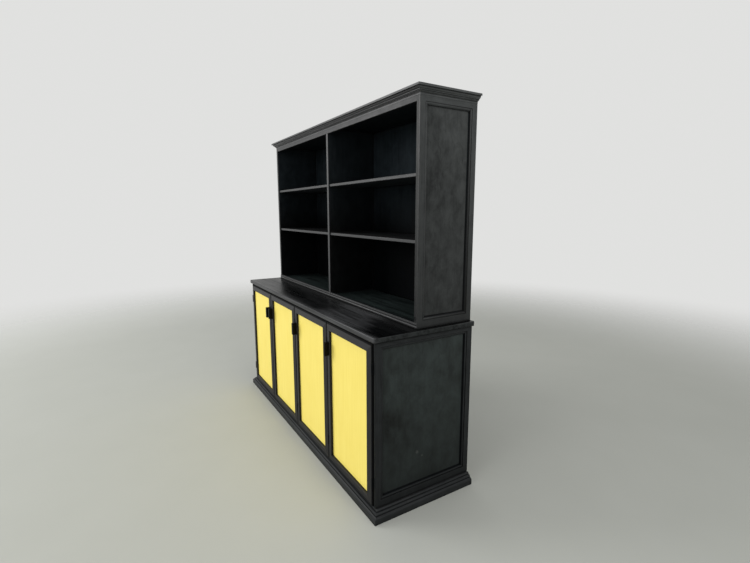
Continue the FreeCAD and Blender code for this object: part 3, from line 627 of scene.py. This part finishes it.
# Softened edges, by the width of the bevel in millimetres.
SOFT = {
    0.4: ["hutch_foot_moulding", "shelf_lower_left", "shelf_lower_right", "shelf_upper_left",
          "shelf_upper_right"] + ["door_%d_handle" % n for n in DOORS],
    0.5: ["base_panel_beads", "hutch_panel_beads", "cornice_front", "cornice_left", "cornice_right",
          "plinth_moulding_front", "plinth_moulding_left", "plinth_moulding_right", "worktop", "base_back",
          "hutch_back"],
    0.6: ["door_%d_frame" % n for n in DOORS],
    0.8: ["hutch_header", "hutch_top", "hutch_bottom"] + ends("base", "side") + ends("hutch", "side"),
    1.0: ["hutch_foot_rail", "base_shelf_left", "base_shelf_middle", "base_shelf_right",
          "base_top_rails"] + ends("base", "frame") + ends("hutch", "frame"),
    1.2: ["hutch_divider"],
    1.5: ["plinth_long_boards", "plinth_bearers"],
}
for width, names in SOFT.items():
    for name in names:
        weld = nodes[name].modifiers.new("weld", "WELD")
        weld.merge_threshold = WELD_REACH
        bevel = nodes[name].modifiers.new("arris", "BEVEL")
        bevel.width = width / 1000
        bevel.segments = 2
        bevel.limit_method = "ANGLE"
        bevel.angle_limit = BEVEL_ANGLE
        bevel.use_clamp_overlap = True
        bevel.harden_normals = True

scene = bpy.context.scene
scene.view_settings.view_transform = "Standard"


def lay_floor(half, fade_from, fade_to):
    """A plain matt floor that fades into the background."""
    mesh = bpy.data.meshes.new("floor")
    corners = [(-half, -half, 0), (half, -half, 0), (half, half, 0), (-half, half, 0)]
    mesh.from_pydata(corners, [], [(0, 1, 2, 3)])
    floor = bpy.data.objects.new("floor", mesh)
    scene.collection.objects.link(floor)
    look = Look("floor_matt")
    speck = look.noise(look.stretched(even(3.0)), 4.0, 0.5)
    look.put(look.shader.inputs["Base Color"], look.mix(speck, (0.400, 0.410, 0.375), (0.425, 0.435, 0.400)))
    look.shader.inputs["Roughness"].default_value = 0.7
    look.shader.inputs["Specular IOR Level"].default_value = 0.15
    away = look.node("VectorMath", operation="LENGTH")
    look.put(away.inputs[0], look.place)
    blend = look.node("MixShader")
    look.put(blend.inputs[0], look.remap(away.outputs["Value"], fade_from, fade_to, smooth=True))
    look.put(blend.inputs[1], look.shader.outputs[0])
    look.put(blend.inputs[2], look.node("BsdfTransparent").outputs[0])
    look.put(look.tree.nodes["Material Output"].inputs["Surface"], blend.outputs[0])
    mesh.materials.append(look.material)


def light_room(strength, background):
    """Even white light for diffuse rays, and the pale background for all that is seen or mirrored."""
    world = bpy.data.worlds.new("room")
    world.use_nodes = True
    tree = world.node_tree
    ambient = tree.nodes["Background"]
    ambient.inputs["Color"].default_value = (1.0, 1.0, 1.0, 1.0)
    ambient.inputs["Strength"].default_value = strength
    pale = tree.nodes.new("ShaderNodeBackground")
    pale.inputs["Color"].default_value = opaque(background)
    pale.inputs["Strength"].default_value = 1.0
    path = tree.nodes.new("ShaderNodeLightPath")
    seen = path.outputs["Is Camera Ray"]
    for name in ("Is Glossy Ray", "Is Transmission Ray"):
        most = tree.nodes.new("ShaderNodeMath")
        most.operation = "MAXIMUM"
        tree.links.new(seen, most.inputs[0])
        tree.links.new(path.outputs[name], most.inputs[1])
        seen = most.outputs[0]
    blend = tree.nodes.new("ShaderNodeMixShader")
    tree.links.new(seen, blend.inputs[0])
    tree.links.new(ambient.outputs[0], blend.inputs[1])
    tree.links.new(pale.outputs[0], blend.inputs[2])
    tree.links.new(blend.outputs[0], tree.nodes["World Output"].inputs["Surface"])
    scene.world = world


def softbox(name, place, target, width, height, power):
    """A flat rectangular lamp aimed at a target, in metres and watts."""
    data = bpy.data.lights.new(name, "AREA")
    data.shape = "RECTANGLE"
    data.size = width
    data.size_y = height
    data.energy = power
    lamp = bpy.data.objects.new(name, data)
    aim = Vector(target) - Vector(place)
    lamp.matrix_world = Matrix.Translation(place) @ aim.to_track_quat("-Z", "Y").to_matrix().to_4x4()
    scene.collection.objects.link(lamp)


def set_camera(place, yaw, pitch, roll, lens):
    """The photograph's camera: yaw from +Y towards -X, pitch upwards and roll, in degrees."""
    yaw, pitch, roll = (math.radians(angle) for angle in (yaw, pitch, roll))
    forward = Vector((-math.sin(yaw) * math.cos(pitch), math.cos(yaw) * math.cos(pitch), math.sin(pitch)))
    right = forward.cross(Vector((0, 0, 1))).normalized()
    turn = Matrix((right, right.cross(forward), -forward)).transposed().to_4x4()
    camera = bpy.data.objects.new("camera", bpy.data.cameras.new("camera"))
    camera.data.lens = lens
    camera.data.sensor_width = 36
    camera.data.sensor_fit = "HORIZONTAL"
    camera.matrix_world = Matrix.Translation(place) @ turn @ Matrix.Rotation(roll, 4, "Z")
    scene.collection.objects.link(camera)
    scene.camera = camera


lay_floor(half=14.0, fade_from=3.0, fade_to=7.5)
light_room(strength=0.56, background=(0.75, 0.752, 0.742))
softbox("key_front_left", (-6.6, -7.6, 4.6), (0.0, 0.0, 0.9), 5.6, 5.0, 655.0)
softbox("fill_front", (1.6, -6.4, 3.0), (0.0, 0.0, 0.9), 4.0, 3.0, 105.0)
softbox("top", (0.3, -0.6, 5.2), (0.3, 0.0, 0.0), 4.0, 3.0, 60.0)
softbox("right_high", (4.4, 0.2, 4.0), (1.0, 0.1, 1.9), 2.4, 2.4, 50.0)
set_camera(place=(2.6807, -1.29385, 1.5213), yaw=58.68, pitch=-9.14, roll=-0.09, lens=20.616)
